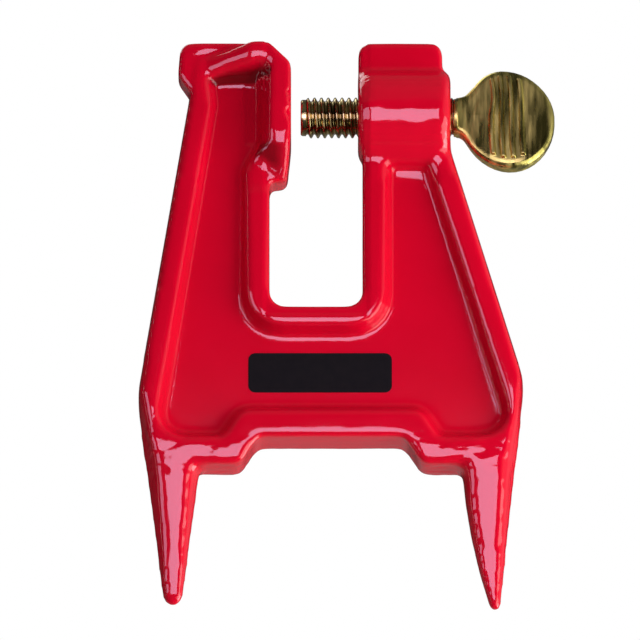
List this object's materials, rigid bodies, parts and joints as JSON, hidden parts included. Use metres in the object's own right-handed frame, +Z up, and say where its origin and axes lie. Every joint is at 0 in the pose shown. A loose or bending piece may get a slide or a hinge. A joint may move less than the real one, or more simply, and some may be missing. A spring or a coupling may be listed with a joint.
{
  "type": "stump vise",
  "caption": "Small cast vise with spikes to drive into a stump, a fixed jaw over an open slot, and a thumbscrew that clamps a guide bar against the jaw.",
  "frame": {"origin": "between the two spikes, halfway through the casting's depth, level with the undersides of the feet, where they meet the stump", "axes": "+X along the screw towards its thumb piece, +Y from the front to the back, +Z up"},
  "size_m": [0.0958, 0.0216, 0.1343],
  "materials": {
    "red_enamel": "gloss",
    "yellow_zinc": "gloss",
    "black_print": "satin"
  },
  "bodies": {
    "vise_frame": {"cast_frame": "red_enamel", "label_patch": "black_print"},
    "screw_end": {"screw_nose": "yellow_zinc"},
    "thumbscrew": {"threaded_shank": "yellow_zinc", "thumb_head": "yellow_zinc"}
  },
  "joints": [
    {"name": "screw_advance", "type": "slide", "parent": "vise_frame", "child": "screw_end", "axis": [-1, 0, 0], "range_m": [-0.0132, 0.0021]},
    {"name": "thumb_turn", "type": "hinge", "parent": "screw_end", "child": "thumbscrew", "pos_m": [-0.007, 0, 0.084], "axis": [-1, 0, 0], "range_deg": [-2994, 477]}
  ],
  "couplings": [
    {"joint": "thumb_turn", "follows": "screw_advance", "rad_per_m": 3957.9}
  ]
}
